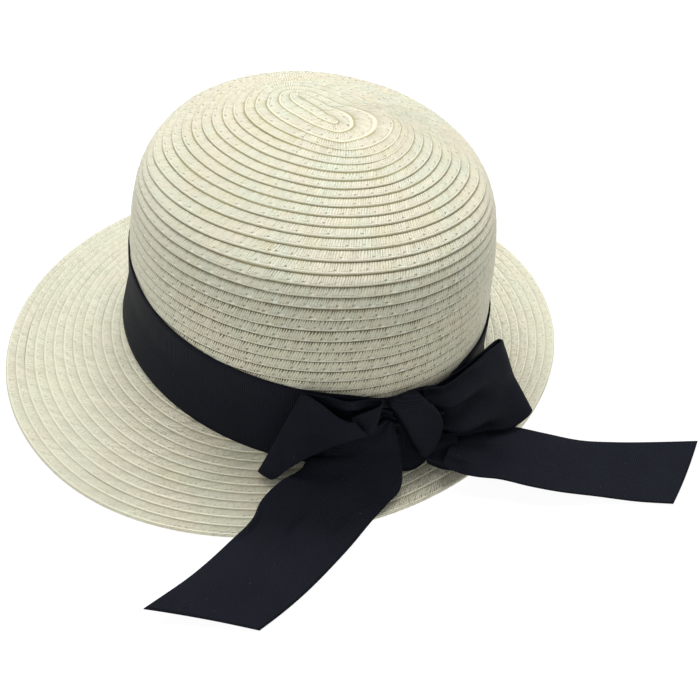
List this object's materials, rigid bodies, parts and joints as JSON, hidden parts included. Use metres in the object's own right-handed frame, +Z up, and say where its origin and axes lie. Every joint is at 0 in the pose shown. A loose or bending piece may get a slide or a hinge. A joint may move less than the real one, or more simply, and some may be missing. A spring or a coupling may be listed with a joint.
{
  "type": "sun hat",
  "caption": "Sun hat of spirally sewn straw braid: a high round crown, a turned-down brim wider in front, a dark ribbed ribbon band and a bow with long loose tails at the back.",
  "frame": {"origin": "the middle of the whole hat's outer box, tails included, on the surface that the rim stands on", "axes": "+Z up through the crown; -Y towards the front of the brim; +Y towards the bow at the back; +X across the hat"},
  "size_m": [0.3142, 0.3464, 0.1494],
  "materials": {
    "straw": "pale ivory paper straw braid, matt, in sewn overlapping rows",
    "ribbon": "blue-black ribbed ribbon with a faint sheen"
  },
  "bodies": {
    "root": {"crown": "straw", "brim": "straw", "hat_band": "ribbon", "bow_knot": "ribbon", "bow_loop_left": "ribbon", "bow_loop_right": "ribbon", "tail_left": "ribbon", "tail_right": "ribbon"}
  },
  "joints": []
}
